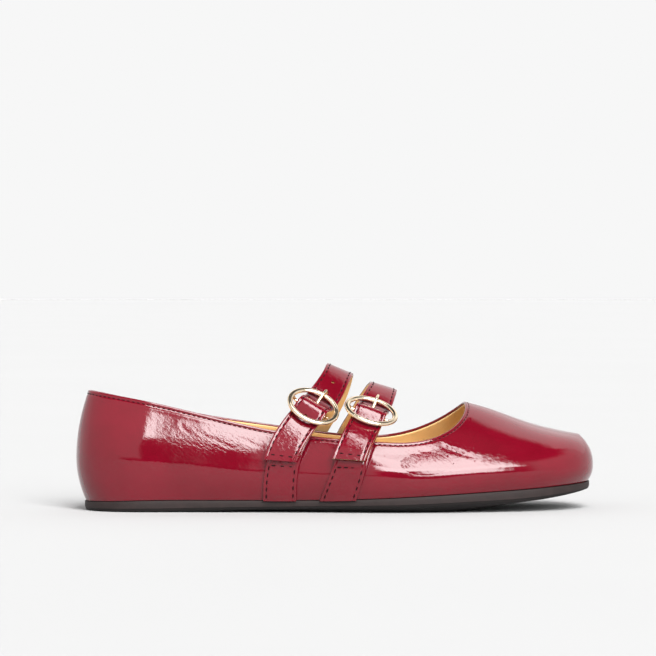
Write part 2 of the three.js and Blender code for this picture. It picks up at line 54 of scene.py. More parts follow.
# Sizes of the last and the upper, in millimetres
LENGTH = 252
BALL_WIDTH = 87.5
INSTEP_HEIGHT = 67
HEEL_HEIGHT = 57.5
BELLY_HEIGHT = 19
WALL = 1.8
GAP = 0.3
SEAT = 0.5
HEEL_RAKE = 6
HEEL_TUCK = 4.6
TOE_BROW = 6.6
TOE_TUCK = 2.3
SIDE_TUCK = 2.8
HEEL_ROUND = 34
TOE_ROUND = 38
HEEL_SQUARENESS = 2.25
TOE_SQUARENESS = 2.7
BROW_POWER = 2.5
BELLY_SHARE = 0.2  # girth at which the last is widest
HEEL_SHARE = 0.36  # share of the length over which the heel leans
TOE_SHARE = 0.24  # and the toe

# The topline
THROAT = 189.5
CLIMB_POWER = 2.4
CLIMBS = {-1: (39, 1.7, "outerTop"), 1: (54, 1.2, "innerTop")}
PATENT = 1.0  # thickness of the outer layer, folded over at the topline
LINING_TRIM = 0.45  # how far below the fold the lining ends
LAYER_GAP = 0.05  # between the layers of the upper

# The sole and insole
SOLE_EDGE = 5.2
TOE_SPRING = 9.8
SOLE_MARGIN = 0.5
SOLE_UNDERCUT = 12
INSOLE = 2.4
INSOLE_GAP = 0.06  # to the lining
INSOLE_WAVE = 0.12  # height of its waves
HEEL_DISH = 0.35  # how deep it is worn at the heel

# The straps and buckles
STRAP_WIDTH = 13.6
END_WIDTH = 15.4  # at the buckle and the loose end
WIDE_RUN = 9
NARROWING = 20
STRAP = 1.5
STRAP_BACKING = 0.6  # the lining's share of it
HOLE_RADIUS = 0.85
CHAPE_WIDTH = 16
CHAPE_NECK = 14.4
CHAPE = 1.5
LOOP = 1.1
CHAPE_SIDESTEP = 1.8
BUCKLE_WIDTH = 26.4
BUCKLE_HEIGHT = 22.4
RIM = 2.6
RIM_DEPTH = 2.2
BAR_RADIUS = 0.8
PRONG_RADIUS = 0.75
PRONG_OVERHANG = 2.2
SPRING = 2.6
SPRING_GIRTH = 0.6
SPRING_REACH = 0.26
RIM_SEAT = 1.1
HUMP = 9
FOOT_STOP = 0.004
END_TURN = 9
FOOT_TURN = 0.16
END_LIFT = 0.9  # how far a loose end has sprung off the tab
END_LIFT_RUN = 14

# Nine equal stations from heel to toe, as shares of the sizes above
STATIONS = {
    "outer": (0.32, 0.32, 0.36, 0.418, 0.497, 0.55, 0.53, 0.462, 0.36),
    "inner": (0.31, 0.31, 0.312, 0.285, 0.312, 0.395, 0.45, 0.418, 0.32),
    "axis": (0, 0, 0.01, 0.03, 0.045, 0.045, 0.04, 0.04, 0.04),
    "ridge": (1.2, 1.26, 1.3, 1.19, 1.0, 0.83, 0.77, 0.637, 0.535),
    "belly": (1.32, 1.26, 1.12, 1.0, 0.95, 0.95, 0.98, 1.03, 1.08),
    "full": (-0.08, -0.08, -0.08, -0.08, -0.08, -0.08, -0.06, -0.02, 0.04),
    "edge": (0.8, 1.02, 0.92, 0.78, 0.74, 0.92, 1.04, 1.08, 0.66),
    "lift": (0.03, 0.03, 0.1, 0.18, 0.24, 0.28, 0.4, 0.56, 1.0),
    "under": (-0.03, -0.05, 0.01, 0.05, -0.03, -0.07, 0.1, 0.48, 0.94),
    "undercut": (0.25, 0.25, 0.5, 0.9, 1.0, 1.0, 1.0, 1.0, 0.8),
    "outerTop": (1.0, 0.913, 0.794, 0.676, 0.607, 0.574, 0.574, 0.574, 0.574),
    "innerTop": (1.0, 0.885, 0.773, 0.692, 0.614, 0.576, 0.576, 0.576, 0.576),
}

# The straps' places along the last, at seven equal steps of the girth from the outer to the inner edge
STRAPS = [
    {
        "name": "rear",
        "places": (0.378, 0.396, 0.473, 0.507, 0.497, 0.453, 0.433),
        "buckle": -0.445,
        "end": -0.725,
        "holes": (-6.5, 14.5, 22.0),
    },
    {
        "name": "front",
        "places": (0.487, 0.52, 0.565, 0.592, 0.567, 0.53, 0.51),
        "buckle": -0.39,
        "end": -0.7,
        "holes": (-6.5, 14.5),
    },
]

TOPLINE_SEAM = 1.3  # from the fold down to the stitches

# Rolls of the upper along its topline: height, distance from the fold and width
ROLLS = [
    (0.2, 0.35, 0.5),
    (-0.2, TOPLINE_SEAM, 0.36),
    (0.06, 2.9, 1.0),
]

# Waves of the upper: height, size, stretch along X, Y and Z, and seed
WAVES = [
    (0.03, 17.0, (1, 1, 1), 1),
    (0.02, 7.0, (1, 1, 0.6), 2),
    (0.012, 3.0, (1.2, 1, 0.5), 3),
]

# Creases of the upper: two ends as (X, height), depth and width, and the side
CREASES = [
    ((162, 33), (171, 27), 0.22, 0.9, -1),
    ((166, 31), (176, 27), 0.18, 0.8, -1),
    ((158, 33), (162, 28), 0.12, 0.9, -1),
    ((172, 34), (184, 29), 0.16, 0.9, -1),
    ((179, 31), (192, 27), 0.10, 0.9, -1),
    ((50, 42), (57, 37), 0.05, 0.7, -1),
    ((57, 40), (68, 34), 0.06, 0.7, -1),
    ((64, 37), (76, 31), 0.05, 0.7, -1),
    ((78, 36), (92, 31), 0.04, 0.8, -1),
    ((164, 31), (176, 22), 0.16, 1.4, 1),
    ((171, 32), (180, 25), 0.12, 1.2, 1),
    ((160, 29), (165, 22), 0.08, 1.2, 1),
    ((60, 40), (70, 31), 0.06, 1.2, 1),
    ((74, 38), (82, 30), 0.05, 1.2, 1),
]

# Broad flats of the upper: centre as (X, height), reach along and up, depth and the side
FLATS = [
    ((166, 24), (20, 10), 1.4, -1),
    ((192, 29), (16, 6), 0.35, -1),
    ((88, 31), (24, 8), 0.3, -1),
    ((168, 25), (18, 10), 0.8, 1),
]

# Where the patent leather is finely crinkled: centre as (X, height), reach along and up, and strength
CRINKLES = [
    ((62, 33), (20, 7), 1.0),
    ((104, 30), (14, 8), 0.6),
    ((170, 27), (20, 7), 1.0),
    ((196, 24), (14, 6), 0.5),
    ((235, 24), (10, 10), 0.25),
]
CRINKLED_LEAST = 0.1


# Smooth curves through evenly spaced values


def spline(values):
    """A cubic B-spline of 0 to 1 that passes through the values, with straight ends."""
    values = np.array(values, float)
    c = values.copy()
    for _ in range(60):
        middle = c.copy()
        for i in range(1, len(c) - 1):
            middle[i] = c[i] = (6 * values[i] - c[i - 1] - c[i + 1]) / 4
    c = np.concatenate([[2 * c[0] - c[1]], c, [2 * c[-1] - c[-2]]])
    spans = len(values) - 1

    def curve(share):
        at = np.clip(share, 0, 1) * spans
        i = np.minimum(np.floor(at).astype(int), spans - 1)
        t = at - i
        weights = ((1 - t) ** 3, 3 * t**3 - 6 * t**2 + 4, -3 * t**3 + 3 * t**2 + 3 * t + 1, t**3)
        return sum(w * c[i + k] for k, w in enumerate(weights)) / 6

    return curve


ALONG = {name: spline(values) for name, values in STATIONS.items()}


def along(name, x):
    return ALONG[name](np.asarray(x, float) / LENGTH)


def smoothstep(t):
    t = np.clip(t, 0, 1)
    return t * t * (3 - 2 * t)


def unit(v):
    return v / np.maximum(np.linalg.norm(v, axis=-1, keepdims=True), 1e-12)


# The last


def sole_edge_bottom(x):
    return TOE_SPRING * along("lift", x)


def sole_top(x):
    return sole_edge_bottom(x) + SOLE_EDGE * along("edge", x)


def underside(x):
    return np.maximum(0, TOE_SPRING * along("under", x))


def ridge_height(x):
    return INSTEP_HEIGHT * along("ridge", x)


def end_rounding(x):
    def rounded(reach, length, power):
        return (1 - (1 - np.clip(reach / length, 0, 1)) ** power) ** (1 / power)

    return rounded(x, HEEL_ROUND, HEEL_SQUARENESS) * rounded(LENGTH - x, TOE_ROUND, TOE_SQUARENESS)


def last_point(x, side, girth):
    """Points of the last. side is -1 outside and 1 inside, girth 0 at the sole and 1 on the ridge."""
    x, side, girth = np.broadcast_arrays(np.asarray(x, float), side, np.asarray(girth, float))
    belly = BELLY_HEIGHT * along("belly", x)
    rise = ridge_height(x) - belly
    foot = sole_top(x) + GAP
    rounding = end_rounding(x)
    reach = BALL_WIDTH * np.where(side < 0, along("outer", x), along("inner", x))
    down = 1 - girth / BELLY_SHARE
    turn = (girth - BELLY_SHARE) / (1 - BELLY_SHARE) * (math.pi / 2)
    full = 4 * along("full", x)
    up = np.sin(turn) * (1 + full * np.cos(turn) ** 2)
    low = girth < BELLY_SHARE
    above = reach * np.cos(turn) * (1 + full * np.sin(turn) ** 2)
    y = np.where(low, reach - SIDE_TUCK * down**2, above) * rounding
    z = np.where(low, belly - (belly - foot) * down, belly + rise * up)
    back = np.where(low, HEEL_TUCK * down**2, HEEL_RAKE * ((z - belly) / (HEEL_HEIGHT - belly)) ** 2)
    front = np.where(low, TOE_TUCK * down**2, TOE_BROW * np.maximum(up, 0) ** BROW_POWER)
    near_heel = 1 - smoothstep(x / (HEEL_SHARE * LENGTH))
    near_toe = smoothstep(1 - (LENGTH - x) / (TOE_SHARE * LENGTH))
    middle = BALL_WIDTH * along("axis", x)
    return np.stack([x + back * near_heel - front * near_toe, middle + side * y, z], -1)


def column_x(c):
    return LENGTH * (1 - np.cos(math.pi * np.asarray(c, float))) / 2


def column_of(x):
    return np.arccos(np.clip(1 - 2 * np.asarray(x, float) / LENGTH, -1, 1)) / math.pi


def last_normal(c, side, girth):
    c, side, girth = np.broadcast_arrays(np.asarray(c, float), side, np.asarray(girth, float))
    step = 1e-4

    def at(dc, dg):
        return last_point(column_x(np.clip(c + dc, 0, 1)), side, np.clip(girth + dg, 0, 1))

    forward = at(step, 0) - at(-step, 0)
    up = at(0, step) - at(0, -step)
    across = np.stack([0 * c, side + 0 * c, 0 * c], -1)
    forward = np.where((c < step)[..., None], across, forward)
    forward = np.where((c > 1 - step)[..., None], -across, forward)
    up = np.where((girth > 1 - step)[..., None], -across, up)
    ends = (c < step) | (c > 1 - step)
    up = np.where(ends[..., None], up * np.array([1, 0, 1]), up)
    return unit(np.cross(forward, up) * -side[..., None])


# The topline


def topline_girth(x, side, trim=0.0):
    """The girth at which the upper ends, trimmed back from the topline by a distance."""
    run, rounding, base = CLIMBS[side]
    low = HEEL_HEIGHT * along(base, x) - trim
    throat = THROAT + trim
    share = np.clip((x - throat + run) / run, 0, 1)
    climb = 1 - (1 - share**CLIMB_POWER) ** (1 / rounding)
    height = low + (ridge_height(throat) - low) * climb
    bottom = np.full(np.shape(x), BELLY_SHARE)
    top = np.ones(np.shape(x))
    for _ in range(44):
        middle = (bottom + top) / 2
        under = last_point(x, side, middle)[..., 2] < height
        bottom = np.where(under, middle, bottom)
        top = np.where(under, top, middle)
    return np.where(x > throat - 1e-6, 1.0, bottom)


def topline_edge(columns, side, trim=0.0):
    """Points of the topline up to the throat, with the outward and the edgeward directions there."""
    x = column_x(columns)
    girth = topline_girth(x, side, trim)
    points = last_point(x, side, girth)
    normals = last_normal(columns, side, girth)
    run = np.gradient(points, axis=0)
    run[0] = (0, side, 0)
    run[-1] = (0, -side, 0)
    edgeward = unit(np.cross(normals, unit(run)) * -side)
    return points, normals, edgeward


# Making pieces

SHIFT = np.zeros(3)


def place():
    """The move from the last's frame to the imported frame, from the box of the upper's solid."""
    c = np.linspace(0, 1, 241)[:, None]
    girths = np.linspace(0, 0.5, 61)[None, :]
    points = np.concatenate([last_point(column_x(c), side, girths).reshape(-1, 3) for side in (-1, 1)])
    low, high = (np.array(corner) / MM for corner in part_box("upper"))
    own = (points.min(0) + points.max(0)) / 2
    SHIFT[:2] = ((low + high) / 2 - own)[:2]


def add_object(name, data):
    made = bpy.data.objects.new(name, data)
    bpy.context.scene.collection.objects.link(made)
    return made


def closed_mesh(name, vertices, faces, merge=0.0, zone=None):
    """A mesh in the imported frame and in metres, with its faces turned outwards."""
    mesh = bpy.data.meshes.new(name)
    points = (np.asarray(vertices) + SHIFT) * MM
    mesh.from_pydata(points.tolist(), [], [list(map(int, f)) for f in faces])
    if zone is not None:
        values = np.broadcast_to(np.asarray(zone, float), len(mesh.vertices)).copy()
        mesh.attributes.new("zone", "FLOAT", "POINT").data.foreach_set("value", values)
    bm = bmesh.new()
    bm.from_mesh(mesh)
    if merge:
        bmesh.ops.remove_doubles(bm, verts=bm.verts, dist=merge * MM)
        bmesh.ops.dissolve_degenerate(bm, edges=bm.edges, dist=1e-8)
    bmesh.ops.recalc_face_normals(bm, faces=bm.faces)
    bm.to_mesh(mesh)
    bm.free()
    return mesh


def piece(name, vertices, faces, material, slot, replaces=(), sharp=40, merge=0.0, zone=None):
    mesh = closed_mesh(name, vertices, faces, merge, zone)
    for polygon in mesh.polygons:
        polygon.use_smooth = True
    mesh.set_sharp_from_angle(angle=math.radians(sharp))
    made = add_object(name, mesh)
    mesh.materials.append(material)
    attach(made, "root")
    if replaces:
        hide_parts(*replaces)
    return made


def grid_faces(columns, rows, keep=None, offset=0):
    """Quads of a grid whose vertex number is column * rows + row, with closed rows."""
    faces = []
    for i in range(columns - 1):
        for j in range(rows):
            if keep and not keep(i, j):
                continue
            k = (j + 1) % rows
            here, after = offset + i * rows, offset + (i + 1) * rows
            faces.append((here + j, after + j, after + k, here + k))
    return faces


def lofted(rings):
    """Vertices and faces of a body through rings of equal length, with flat ends."""
    rings = np.asarray(rings)
    count, size = rings.shape[:2]
    faces = grid_faces(count, size)
    faces.append(tuple(range(size)))
    faces.append(tuple((count - 1) * size + j for j in reversed(range(size))))
    return rings.reshape(-1, 3), faces


def wavy(points, size, seed):
    """Smooth noise of about -1 to 1 at each point, of a size in millimetres."""
    offset = Vector((seed * 7.3, seed * 3.1, seed * 5.7))
    values = [noise.noise(Vector(p) / size + offset) for p in points.reshape(-1, 3)]
    return np.array(values).reshape(points.shape[:-1])


# The upper


def upper_columns(even, crowded, past, trim=0.0, crowding=0.06):
    throat = float(column_of(THROAT + trim))
    start = throat - crowding
    first = np.linspace(0, start, even, endpoint=False)
    near = throat - crowding * (1 - np.linspace(0, 1, crowded + 1)) ** 2
    last = np.linspace(throat, 1, past + 1)[1:]
    return np.concatenate([first, near, last]), even + crowded


CREASE_BOW = 0.9  # how far a crease bows off the line between its ends
CREASE_RIDGE = 0.45  # height of its ridges as a share of its depth


def creased(points, side):
    """Depth of the flats and creases at points of one side, below the smooth surface."""
    depth = np.zeros(points.shape[:-1])
    for centre, reach, deep, at_side in FLATS:
        if at_side == side:
            away = (points[..., [0, 2]] - np.array(centre)) / np.array(reach)
            depth += deep * np.exp(-np.sum(away**2, -1))
    for start, end, deep, wide, at_side in CREASES:
        if at_side != side:
            continue
        a, b = np.array(start, float), np.array(end, float)
        p = points[..., [0, 2]]
        span = b - a
        t = np.clip(((p - a) @ span) / (span @ span), 0, 1)
        bow = np.array([span[1], -span[0]]) / np.linalg.norm(span) * CREASE_BOW
        centre = a + t[..., None] * span + np.sin(t * math.pi)[..., None] * bow
        distance = np.linalg.norm(p - centre, axis=-1)
        taper = 0.35 + 0.65 * np.sin(np.clip(t, 0.02, 0.98) * math.pi)
        trough = np.exp(-((distance / wide) ** 2))
        ridge = CREASE_RIDGE * np.exp(-(((distance - 2.1 * wide) / (0.9 * wide)) ** 2))
        depth += deep * taper * (trough - ridge)
    return depth


def crinkled(points):
    """How finely crinkled the patent leather is at each point, 0 to 1."""
    strength = np.full(points.shape[:-1], CRINKLED_LEAST)
    for centre, reach, most in CRINKLES:
        away = (points[..., [0, 2]] - np.array(centre)) / np.array(reach)
        strength = np.maximum(strength, most * np.exp(-np.sum(away**2, -1)))
    return strength


ROW_SLOPE = 0.45  # of the girth over the wall's rows, where they leave the sole


def wall(side, columns, throat_index, rows, trim, depths, edge_steps, relief):
    """One side of the wall: a loop of points for each column, out, over the edge and back inside.

    depths are those of its outer and inner surface below the last's.
    """
    x = column_x(columns)[:, None]
    top = topline_girth(x[:, 0], side, trim)[:, None]
    share = np.concatenate([np.linspace(0, 0.92, rows), np.linspace(0.92, 1, rows // 3)[1:]])[None, :]
    girth = ROW_SLOPE * share + (top - ROW_SLOPE) * share**2
    girth = np.where(share > 1 - 1e-9, top, girth)
    base = last_point(x, side, girth)
    normal = last_normal(columns[:, None], side, girth)
    outside = base - normal * depths[0]
    if relief is not None:
        outside = outside + normal * relief(base, side)[..., None]
    inner_rows = slice(None, None, -2)
    inside = (base - normal * depths[1])[:, inner_rows]
    count = throat_index + 1
    _, edge_normal, edgeward = topline_edge(columns[:count], side, trim)
    start, finish = outside[:, -1], inside[:, 0]
    arc = np.zeros((len(columns), edge_steps, 3))
    for k in range(edge_steps):
        angle = math.pi * (k + 1) / (edge_steps + 1)
        centre = (start + finish)[:count] / 2
        radius = np.linalg.norm(start[:count] - finish[:count], axis=-1, keepdims=True) / 2
        arc[:count, k] = centre + radius * (math.cos(angle) * edge_normal + math.sin(angle) * edgeward)
    return np.concatenate([outside, arc, inside], axis=1), outside.shape[1]


def wall_piece(name, columns, throat_index, rows, trim, depths, edge_steps, relief, material, slot):
    """Both sides of one layer of the upper, open between the sides as far as the throat."""
    vertices, faces = [], []
    for side in (-1, 1):
        loop, outer_rows = wall(side, columns, throat_index, rows, trim, depths, edge_steps, relief)
        size = loop.shape[1]

        def keep(i, j, outer_rows=outer_rows):
            return i < throat_index or not (outer_rows - 1 <= j < outer_rows + edge_steps)

        offset = sum(len(v) for v in vertices)
        faces += grid_faces(len(columns), size, keep, offset)
        vertices.append(loop.reshape(-1, 3))
    vertices = np.concatenate(vertices)
    made = piece(
        name, vertices, faces, material, slot, ("upper",), sharp=50, merge=0.004, zone=crinkled(vertices))
    bm = bmesh.new()
    bm.from_mesh(made.data)
    loose = [v for v in bm.verts if not v.link_faces]
    bmesh.ops.delete(bm, geom=loose, context="VERTS")
    bm.to_mesh(made.data)
    bm.free()


def topline_tree(columns, count):
    points = np.concatenate([topline_edge(columns[:count], side)[0] for side in (-1, 1)])
    tree = kdtree.KDTree(len(points))
    for i, p in enumerate(points):
        tree.insert(Vector(p), i)
    tree.balance()
    return tree


def make_upper(patent, lining):
    columns, throat_index = upper_columns(190, 46, 120)
    tree = topline_tree(columns, throat_index + 1)

    def relief(base, side):
        flat = base.reshape(-1, 3)
        reach = np.array([tree.find(Vector(p))[2] for p in flat]).reshape(base.shape[:-1])
        rolls = sum(height * np.exp(-(((reach - below) / wide) ** 2)) for height, below, wide in ROLLS)
        above_sole = base[..., 2] - sole_top(base[..., 0])
        free = smoothstep((reach - 1.5) / 6) * smoothstep((above_sole - 1) / 6)
        waves = sum(height * wavy(base * stretch, size, seed) for height, size, stretch, seed in WAVES)
        return rolls + free * (waves - creased(base, side))

    wall_piece("upper_patent", columns, throat_index, 66, 0.0, (0.0, PATENT), 9, relief, patent, "patent")
    columns, throat_index = upper_columns(120, 36, 70, LINING_TRIM)
    layer = PATENT + LAYER_GAP, WALL
    wall_piece("upper_lining", columns, throat_index, 40, LINING_TRIM, layer, 3, None, lining, "lining")


# The sole and insole


def foot_line(c, side, outwards):
    c = np.asarray(c, float)
    point = last_point(column_x(c), side, 0.0 * c)
    normal = last_normal(c, side, 0.0 * c) * np.array([1, 1, 0])
    return point + unit(normal) * np.asarray(outwards)[..., None]


def profiled(columns, side, profile, margin, low, thickness):
    """Rows beside the foot line, for pairs of how far out and the height as a share of the thickness."""
    rows = []
    for out, share in profile:
        p = foot_line(columns, side, margin + out + 0 * columns)
        p[:, 2] = low + thickness * share
        rows.append(p)
    return rows


def between(a, b, count):
    """The rows that lie evenly between two others, which count as well."""
    return [a * (1 - t) + b * t for t in np.linspace(0, 1, count)[1:-1]]


# The outsole's side from the top down: how far out from the foot line, and the share of the edge's height
SOLE_PROFILE = [
    (SOLE_MARGIN - 0.9, 1.0),
    (SOLE_MARGIN - 0.45, 1.0),
    (SOLE_MARGIN - 0.12, 0.97),
    (SOLE_MARGIN, 0.9),
    (SOLE_MARGIN, 0.5),
    (SOLE_MARGIN - 0.05, 0.3),
    (SOLE_MARGIN - 0.25, 0.26),
    (SOLE_MARGIN - 0.3, 0.22),
    (SOLE_MARGIN - 0.35, 0.1),
    (SOLE_MARGIN - 0.6, 0.03),
    (SOLE_MARGIN - 0.95, 0.0),
]


def make_outsole(material):
    columns = np.linspace(0, 1, 301)
    x = column_x(columns)
    top, low, floor = sole_top(x), sole_edge_bottom(x), underside(x)
    tuck = SOLE_UNDERCUT * along("undercut", x)
    halves = {}
    for side in (-1, 1):
        points = profiled(columns, side, SOLE_PROFILE, 0.0, low, top - low)
        for t in np.linspace(0, 1, 7)[1:]:
            p = foot_line(columns, side, (SOLE_MARGIN - 0.95) * (1 - t) - tuck * t)
            p[:, 2] = floor + (low - floor) * (1 - t) ** 2
            points.append(p)
        halves[side] = np.stack(points, 1)
    across = between(halves[-1][:, -1:], halves[1][:, -1:], 9)
    over = between(halves[1][:, :1], halves[-1][:, :1], 5)
    ring = np.concatenate([halves[-1], *across, halves[1][:, ::-1], *over], 1)
    # Painted light and shade: rows of the upper band of the edge are marked 1 as lit, the turned-under rows
    # below are marked 0 to be painted darker as shade
    upper_band = len([share for out, share in SOLE_PROFILE if share >= 0.3])
    lit = np.zeros(ring.shape[:2])
    lit[:, :upper_band] = 1
    lit[:, -len(over) - upper_band :] = 1
    piece("outsole_rubber", *lofted(ring), material, "sole", ("outsole",), sharp=35, zone=lit.ravel())


def make_insole(material):
    columns = np.linspace(0, 1, 221)
    x = column_x(columns)
    low = sole_top(x) + GAP
    profile = [(0, 0.0), (0, 0.75), (-0.12, 0.9), (-0.4, 0.985), (-0.9, 1.0)]
    margin = -WALL - INSOLE_GAP
    halves = {
        side: np.stack(profiled(columns, side, profile, margin, low, INSOLE), 1) for side in (-1, 1)}
    edge = halves[-1][:, -1:], halves[1][:, -1:]
    top = []
    for t in np.linspace(0, 1, 23)[1:-1]:
        p = edge[0] * (1 - t) + edge[1] * t
        dish = math.sin(math.pi * t) ** 0.8
        p[..., 2] += INSOLE_WAVE * wavy(p, 14.0, 9) * dish
        p[..., 2] -= HEEL_DISH * dish * (1 - smoothstep((x[:, None] - 20) / 70))
        top.append(p)
    under = between(halves[1][:, :1], halves[-1][:, :1], 5)
    ring = np.concatenate([halves[-1], *top, halves[1][:, ::-1], *under], 1)
    piece("insole_leather", *lofted(ring), material, "lining", ("insole",), merge=0.002)


# Straps, tabs and buckles

CHAPE_OFFSET = SEAT + CHAPE / 2
END_OFFSET = SEAT + CHAPE + SEAT + STRAP / 2
STRAP_OFFSET = SEAT + STRAP / 2
EYE_INNER = BAR_RADIUS + GAP
EYE_OUTER = EYE_INNER + LOOP
BAR_OFFSET = SEAT + EYE_OUTER
HUMP_OFFSET = BAR_OFFSET + EYE_OUTER + SEAT + STRAP / 2
NEAR_RIM = END_OFFSET + STRAP / 2 + RIM_SEAT + RIM_DEPTH / 2
FAR_RIM = STRAP_OFFSET + STRAP / 2 + RIM_SEAT + RIM_DEPTH / 2
RIM_REACH = (BUCKLE_HEIGHT - RIM) / 2


def strap_line(strap, girth, sidestep=0.0):
    """Point, outward direction and direction level with the sole, at a girth of -1 to 1 over the last."""
    girth = np.asarray(girth, float)
    x = LENGTH * spline(strap["places"])((girth + 1) / 2) + sidestep
    side = np.where(girth < 0, -1, 1)
    height = 1 - np.abs(girth)
    normal = last_normal(column_of(x), side, height)
    level = unit(last_point(x + 1, side, height) - last_point(x - 1, side, height))
    away = np.minimum(np.abs(np.abs(girth) - SPRING_GIRTH) / SPRING_REACH, 1)
    spring = SPRING * np.cos(away * math.pi / 2) ** 2
    return last_point(x, side, height) + normal * spring[..., None], normal, level, height


def frames_at(strap, girth, sidestep=0.0):
    girth = np.atleast_1d(np.asarray(girth, float))
    step = 1e-3
    point, normal, level, height = strap_line(strap, girth, sidestep)
    after = strap_line(strap, np.minimum(girth + step, 1), sidestep)[0]
    before = strap_line(strap, np.maximum(girth - step, -1), sidestep)[0]
    forward = unit(after - before)
    across = unit(np.cross(normal, forward))
    across *= np.sign(across[:, :1])
    out = unit(np.cross(forward, across))
    out *= np.sign(np.sum(out * normal, -1, keepdims=True))
    level = level / np.sum(level * across, -1, keepdims=True)
    turn = smoothstep(1 - height / FOOT_TURN)[:, None]
    across = across * (1 - turn) + level * turn
    return {"point": point, "across": across, "out": out, "level": level}


def walk(strap, start, end, step, sidestep=0.0):
    """Frames at even steps along a strap's line, with the distance from the buckle's bar."""
    girths = np.linspace(start, end, 1201)
    points = strap_line(strap, girths, sidestep)[0]
    run = np.concatenate([[0], np.cumsum(np.linalg.norm(np.diff(points, axis=0), axis=1))])
    steps = int(round(run[-1] / step))
    wanted = np.linspace(0, run[-1], steps + 1)
    at = np.interp(wanted, run, girths)
    frames = frames_at(strap, at, sidestep)
    frames["run"] = wanted - np.interp(strap["buckle"], girths, run)
    return frames


def strap_offset(run):
    base = END_OFFSET + (STRAP_OFFSET - END_OFFSET) * smoothstep((run + HUMP) / (2 * HUMP))
    hump = np.where(np.abs(run) < HUMP, np.cos(math.pi * run / (2 * HUMP)) ** 2, 0)
    return base + (HUMP_OFFSET - (END_OFFSET + STRAP_OFFSET) / 2) * hump


def strap_width(run):
    return END_WIDTH + (STRAP_WIDTH - END_WIDTH) * smoothstep((run - WIDE_RUN) / NARROWING)


def in_buckle(strap, points):
    """Points of a buckle's own frame, with axes across the strap, up along it and out."""
    f = frames_at(strap, strap["buckle"])
    across, out = f["across"][0], f["out"][0]
    up = np.cross(out, across)
    p = np.asarray(points, float)
    return f["point"][0] + p[..., :1] * across + p[..., 1:2] * up + p[..., 2:] * out


STITCH_INSET = 1.6
STITCH_PITCH = 3.4
CROSS_PITCH = 3.2  # of the rows across a strip
STITCH = 2.3  # length
THREAD = 0.27  # radius
TAB_BOX = 17.0  # height of the stitched box at a tab's foot
STRIP_STEP = 0.7  # between sections of a strip
STRIP_SHARP = 38  # degrees from which an edge of a strip is sharp
STRAP_CRINKLED = 0.6
TAB_CRINKLED = 0.5


def ribbon_section(width, low, high, crown, grooves=True):
    """Section of a padded strip from its width, heights and crown, as (across, out) pairs round it."""
    w = width / 2
    e = min(0.3, (high - low) / 2.2)
    across = np.concatenate([
        np.linspace(-w + e, -w + 1.3, 4), np.linspace(-w + 1.55, -w + 2.5, 6),
        np.linspace(-w + 3.1, w - 3.1, 9), np.linspace(w - 2.5, w - 1.55, 6), np.linspace(w - 1.3, w - e, 4),
    ])
    lift = crown * (1 - (across / w) ** 4)
    if grooves:
        lift -= 0.2 * np.exp(-(((w - np.abs(across) - STITCH_INSET) / 0.4) ** 2))
    top = np.stack([across, high + lift], 1)
    sides = [(w - 0.3 * e, high - 0.3 * e), (w, high - e), (w, low + e), (w - 0.3 * e, low + 0.3 * e)]
    bottom = np.stack([np.linspace(w - e, -w + e, 9), np.full(9, low)], 1)
    mirror = [(-a, b) for a, b in reversed(sides)]
    return np.concatenate([top, sides, bottom, mirror])


def ribbon_rings(frames, offset, widths, low, high, crown, grooves=True):
    rings = []
    for i in range(len(frames["run"])):
        section = ribbon_section(widths[i], low, high, crown, grooves)
        across = section[:, :1] * frames["across"][i]
        rings.append(frames["point"][i] + across + (offset[i] + section[:, 1:]) * frames["out"][i])
    return np.array(rings)


def ribbon(name, rings, material, slot, replaces):
    return piece(name, *lofted(rings), material, slot, replaces, sharp=STRIP_SHARP, zone=STRAP_CRINKLED)


def turned_end(frames):
    share = smoothstep(1 - (frames["run"] - frames["run"][0]) / END_TURN)[:, None]
    frames["across"] = frames["across"] * (1 - share) + frames["level"] * share


def cut(target, cutters):
    """Cuts closed bodies, in the last's frame, out of a piece."""
    for vertices, faces in cutters:
        mesh = closed_mesh("cutter", vertices, faces)
        cutter = add_object("cutter", mesh)
        modifier = target.modifiers.new("hole", "BOOLEAN")
        modifier.operation = "DIFFERENCE"
        modifier.solver = "EXACT"
        modifier.object = cutter
        graph = bpy.context.evaluated_depsgraph_get()
        result = bpy.data.meshes.new_from_object(target.evaluated_get(graph))
        target.modifiers.remove(modifier)
        old = target.data
        target.data = result
        bpy.data.meshes.remove(old)
        bpy.data.objects.remove(cutter)
        bpy.data.meshes.remove(mesh)
    target.data.set_sharp_from_angle(angle=math.radians(STRIP_SHARP))


def tube(path, radii, sides=16, squash=1.0, normal=(0, 0, 1)):
    """Rings round a path: radii for each point, flattened by squash along the normal."""
    path = np.asarray(path, float)
    radii = np.broadcast_to(radii, len(path))
    along_path = unit(np.gradient(path, axis=0))
    side = unit(np.cross(along_path, np.broadcast_to(np.asarray(normal, float), along_path.shape)))
    top = np.cross(side, along_path)
    angles = np.linspace(0, 2 * math.pi, sides, endpoint=False)
    return np.array([
        path[i] + radii[i] * (np.cos(angles)[:, None] * side[i] + squash * np.sin(angles)[:, None] * top[i])
        for i in range(len(path))])


def catmull(points, count):
    """A smooth path through points, at even steps of its parameter."""
    p = np.asarray(points, float)
    p = np.concatenate([[2 * p[0] - p[1]], p, [2 * p[-1] - p[-2]]])
    out = []
    for u in np.linspace(0, len(p) - 3, count):
        i = min(int(u), len(p) - 4)
        t = u - i
        a, b, c, d = p[i : i + 4]
        second, third = 2 * a - 5 * b + 4 * c - d, 3 * b - a - 3 * c + d
        out.append(0.5 * (2 * b + (c - a) * t + second * t**2 + third * t**3))
    return np.array(out)


def joined(parts):
    """Vertices and faces of several bodies as one list."""
    vertices, faces, offset = [], [], 0
    for v, f in parts:
        v = np.asarray(v).reshape(-1, 3)
        vertices.append(v)
        faces += [tuple(offset + k for k in face) for face in f]
        offset += len(v)
    return np.concatenate(vertices), faces


